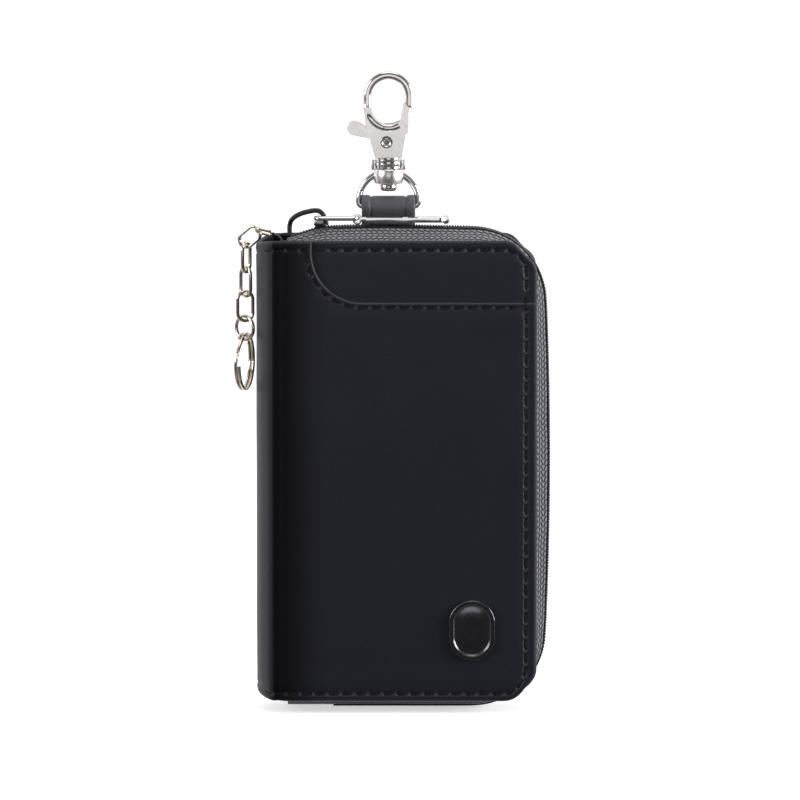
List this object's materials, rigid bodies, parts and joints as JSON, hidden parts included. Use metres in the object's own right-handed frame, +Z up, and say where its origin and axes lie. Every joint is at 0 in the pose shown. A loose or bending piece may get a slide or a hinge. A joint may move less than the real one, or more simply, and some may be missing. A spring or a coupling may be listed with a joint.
{
  "type": "zip key case",
  "caption": "Book-shaped leather key case with a zip round three sides, a hang tab on a swivelling trigger hook, and a short chain with a split ring at the spine.",
  "frame": {"origin": "inner top of the trigger hook's eye, where the case hangs, in the middle of the hook's thickness", "axes": "+Z up along the hook and the case, +X from the spine to the zip side, +Y to the back; the front cover faces -Y"},
  "size_m": [0.0817, 0.0256, 0.1661],
  "materials": {
    "hook_nickel": "polished nickel plate",
    "ring_chrome": "polished",
    "chain_gold": "pale gold plate, polished",
    "steel": "nickel-plated steel",
    "gunmetal": "dark gunmetal, satin",
    "badge_nickel": "black nickel, polished",
    "leather": "smooth grained leather, satin",
    "lining": "woven lining, matt",
    "zip_tape": "woven tape, matt",
    "zip_teeth": "moulded, satin"
  },
  "bodies": {
    "hook": {"hook_body": "hook_nickel", "gate_rivet": "hook_nickel", "gate_spring": "steel", "swivel_pin": "hook_nickel"},
    "gate": {"gate_lever": "hook_nickel"},
    "swivel_ring": {"swivel_ring": "ring_chrome"},
    "case_back": {"hang_tab": "leather", "back_cover": "leather", "back_lining": "lining", "zip_tape_back": "zip_tape", "zip_coil_back": "zip_teeth", "zip_stop": "gunmetal", "key_rail": "steel", "rail_rod": "steel", "rail_rivets": "steel"},
    "spine": {"spine_cover": "leather", "spine_lining": "lining", "chain_anchor": "leather", "chain_top_link": "chain_gold"},
    "front_cover": {"front_cover": "leather", "front_pocket_panel": "leather", "front_lining": "lining", "zip_tape_front": "zip_tape", "zip_coil_front": "zip_teeth", "inner_pocket_tall": "leather", "inner_pocket_short": "leather", "badge": "badge_nickel"},
    "zip_slider": {"slider_body": "gunmetal", "slider_bail": "gunmetal"},
    "pull_link": {"pull_link": "ring_chrome"},
    "pull_plate": {"pull_plate": "ring_chrome"},
    "chain_link_1": {"chain_link_1": "chain_gold"},
    "chain_link_2": {"chain_link_2": "chain_gold"},
    "chain_link_3": {"chain_link_3": "chain_gold"},
    "jump_ring": {"jump_ring": "chain_gold"},
    "split_ring": {"split_ring": "chain_gold"},
    "key_hook_1": {"key_hook_1": "steel"},
    "key_hook_2": {"key_hook_2": "steel"},
    "key_hook_3": {"key_hook_3": "steel"},
    "key_hook_4": {"key_hook_4": "steel"},
    "key_hook_5": {"key_hook_5": "steel"},
    "key_hook_6": {"key_hook_6": "steel"}
  },
  "joints": [
    {"name": "gate_hinge", "type": "hinge", "parent": "hook", "child": "gate", "pos_m": [-0.0005, 0, -0.0165], "axis": [0, -1, 0], "range_deg": [0, 25], "stiffness_Nm_per_rad": 0.02, "springref_deg": -17.19},
    {"name": "swivel", "type": "hinge", "parent": "hook", "child": "swivel_ring", "pos_m": [0, 0, -0.0255], "axis": [0, 0, 1], "continuous": true},
    {"name": "case_hinge", "type": "hinge", "parent": "swivel_ring", "child": "case_back", "pos_m": [0, 0, -0.0334], "axis": [1, 0, 0], "range_deg": [-60, 90]},
    {"name": "spine_hinge", "type": "hinge", "parent": "case_back", "child": "spine", "pos_m": [-0.03, 0.0019, -0.101], "axis": [0, 0, -1], "range_deg": [0, 90]},
    {"name": "front_hinge", "type": "hinge", "parent": "spine", "child": "front_cover", "pos_m": [-0.03, -0.0199, -0.101], "axis": [0, 0, -1], "range_deg": [0, 90]},
    {"name": "zip_slide", "type": "slide", "parent": "case_back", "child": "zip_slider", "axis": [1, 0, 0], "range_m": [0, 0.036]},
    {"name": "pull_link_hinge", "type": "hinge", "parent": "zip_slider", "child": "pull_link", "pos_m": [-0.01892, -0.009, -0.03564], "axis": [0, -1, 0], "range_deg": [0, 120]},
    {"name": "pull_plate_hinge", "type": "hinge", "parent": "pull_link", "child": "pull_plate", "pos_m": [-0.00812, -0.009, -0.03564], "axis": [0, -1, 0], "range_deg": [0, 60]},
    {"name": "chain_hinge_1", "type": "hinge", "parent": "spine", "child": "chain_link_1", "pos_m": [-0.0371, -0.009, -0.04279], "axis": [1, 0, 0], "range_deg": [-20, 20]},
    {"name": "chain_hinge_2", "type": "hinge", "parent": "chain_link_1", "child": "chain_link_2", "pos_m": [-0.03725, -0.009, -0.04924], "axis": [1, 0, 0], "range_deg": [-20, 20]},
    {"name": "chain_hinge_3", "type": "hinge", "parent": "chain_link_2", "child": "chain_link_3", "pos_m": [-0.0374, -0.009, -0.05563], "axis": [1, 0, 0], "range_deg": [-20, 20]},
    {"name": "chain_hinge_4", "type": "hinge", "parent": "chain_link_3", "child": "jump_ring", "pos_m": [-0.0375, -0.009, -0.06203], "axis": [1, 0, 0], "range_deg": [-20, 20]},
    {"name": "chain_hinge_5", "type": "hinge", "parent": "jump_ring", "child": "split_ring", "pos_m": [-0.0376, -0.009, -0.06696], "axis": [1, 0, 0], "range_deg": [-20, 20]},
    {"name": "key_hook_hinge_1", "type": "hinge", "parent": "case_back", "child": "key_hook_1", "pos_m": [-0.0171, -0.0016, -0.0626], "axis": [-1, 0, 0], "range_deg": [0, 30]},
    {"name": "key_hook_hinge_2", "type": "hinge", "parent": "case_back", "child": "key_hook_2", "pos_m": [-0.0089, -0.0016, -0.0626], "axis": [-1, 0, 0], "range_deg": [0, 30]},
    {"name": "key_hook_hinge_3", "type": "hinge", "parent": "case_back", "child": "key_hook_3", "pos_m": [-0.0007, -0.0016, -0.0626], "axis": [-1, 0, 0], "range_deg": [0, 30]},
    {"name": "key_hook_hinge_4", "type": "hinge", "parent": "case_back", "child": "key_hook_4", "pos_m": [0.0075, -0.0016, -0.0626], "axis": [-1, 0, 0], "range_deg": [0, 30]},
    {"name": "key_hook_hinge_5", "type": "hinge", "parent": "case_back", "child": "key_hook_5", "pos_m": [0.0157, -0.0016, -0.0626], "axis": [-1, 0, 0], "range_deg": [0, 30]},
    {"name": "key_hook_hinge_6", "type": "hinge", "parent": "case_back", "child": "key_hook_6", "pos_m": [0.0239, -0.0016, -0.0626], "axis": [-1, 0, 0], "range_deg": [0, 30]}
  ],
  "couplings": [
    {"joint": "front_hinge", "follows": "spine_hinge", "ratio": 1}
  ]
}
